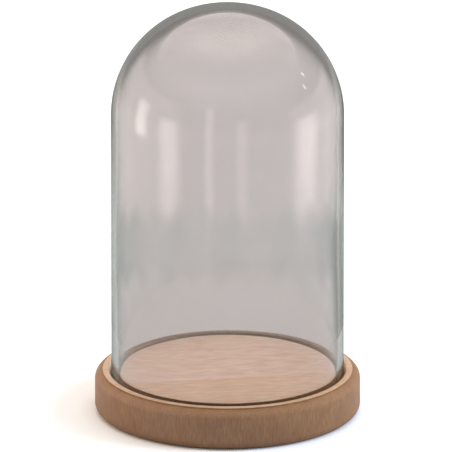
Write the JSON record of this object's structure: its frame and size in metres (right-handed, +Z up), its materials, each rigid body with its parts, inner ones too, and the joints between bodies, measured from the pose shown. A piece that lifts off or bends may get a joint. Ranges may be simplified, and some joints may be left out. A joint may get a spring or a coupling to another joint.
{
  "type": "bell jar dome",
  "caption": "Round-topped glass display dome whose open rim drops into a turned groove in a round wooden base.",
  "frame": {"origin": "centre of the base's underside, on the turning axis", "axes": "+Z up along the turning axis of base and glass; +X to the right and +Y to the back as seen from the front; the base's glue line runs 10 degrees from +X and passes in front of the centre"},
  "size_m": [0.137, 0.137, 0.217],
  "materials": {
    "blown_glass": "clear, smooth, fire-polished rim",
    "beech_front": "turned and sanded beech, bare, matt",
    "beech_rear": "turned and sanded beech, bare, matt"
  },
  "bodies": {
    "base": {"base_front_board": "beech_front", "base_rear_board": "beech_rear"},
    "dome": {"glass_dome": "blown_glass"}
  },
  "joints": [
    {"name": "dome_lift", "type": "slide", "parent": "base", "child": "dome", "axis": [0, 0, 1], "range_m": [0, 0.22]}
  ]
}
